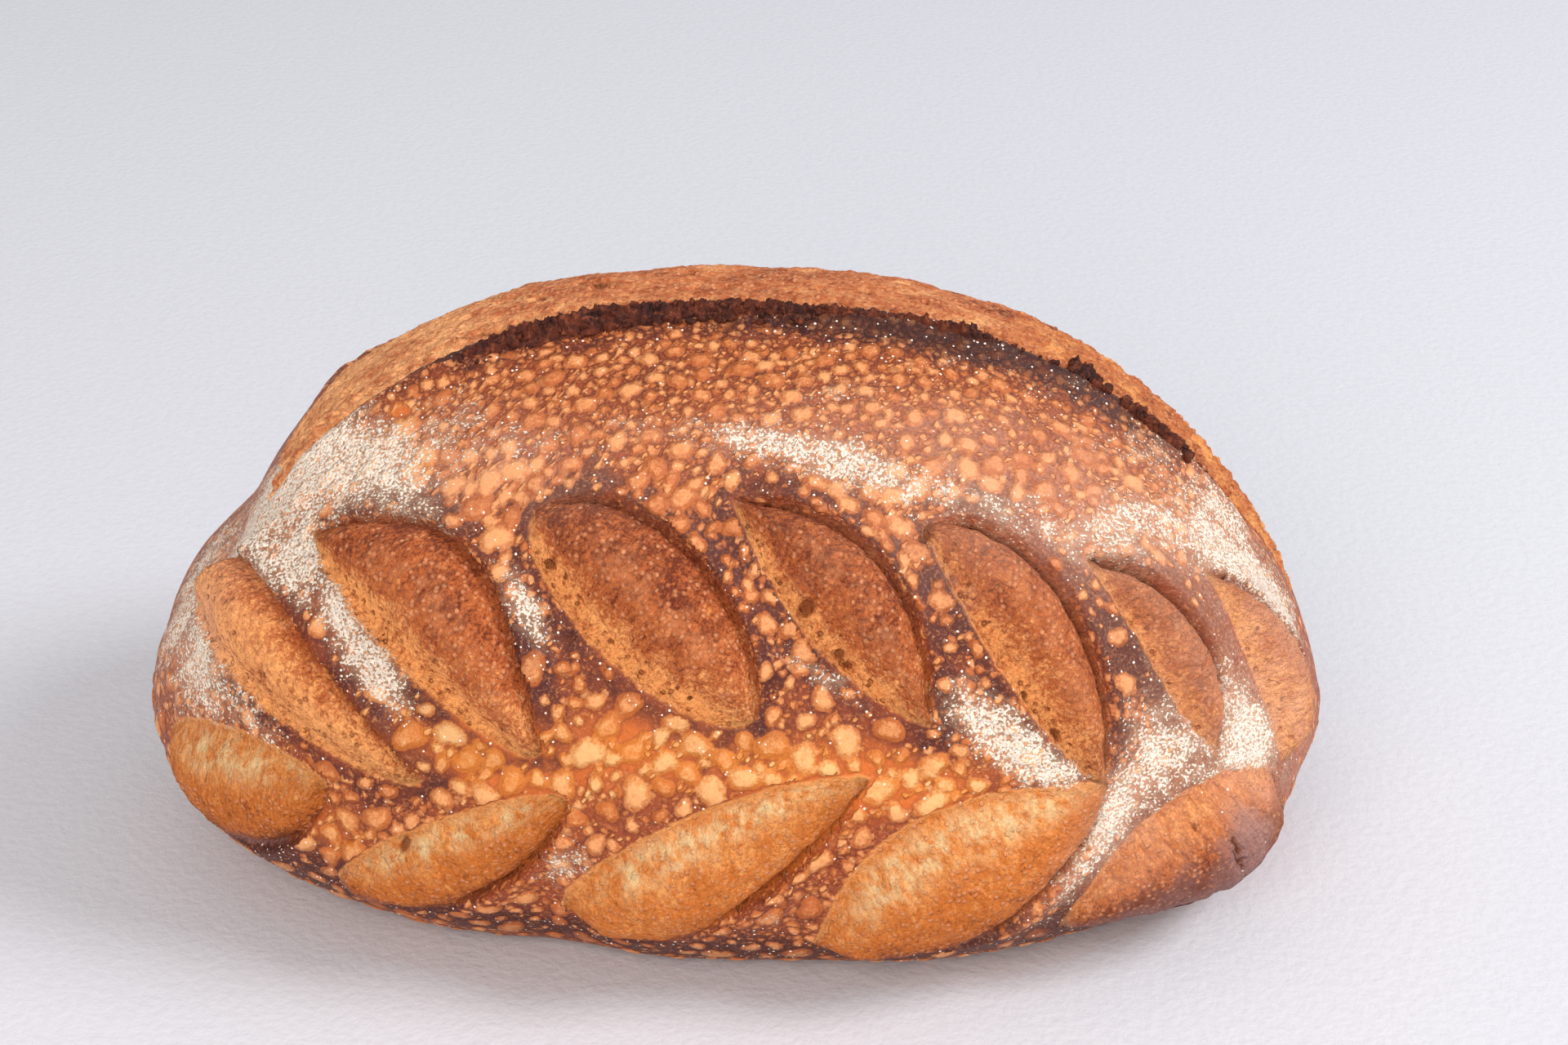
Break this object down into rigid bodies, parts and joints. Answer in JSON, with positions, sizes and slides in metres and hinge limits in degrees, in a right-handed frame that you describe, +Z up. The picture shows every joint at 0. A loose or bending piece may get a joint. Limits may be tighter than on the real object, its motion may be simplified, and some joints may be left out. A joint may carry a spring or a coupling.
{
  "type": "sourdough loaf",
  "caption": "Oval sourdough loaf with a raised ear along its crown, an opened bloom behind it and leaf-shaped cuts down the front.",
  "frame": {"origin": "middle of the loaf's footprint box, at the height of the base", "axes": "+X along the loaf, +Y away from the leaf cuts, +Z up"},
  "size_m": [0.28, 0.1706, 0.1381],
  "materials": {
    "crust": null
  },
  "bodies": {
    "root": {"sourdough_loaf": "crust"}
  },
  "joints": []
}
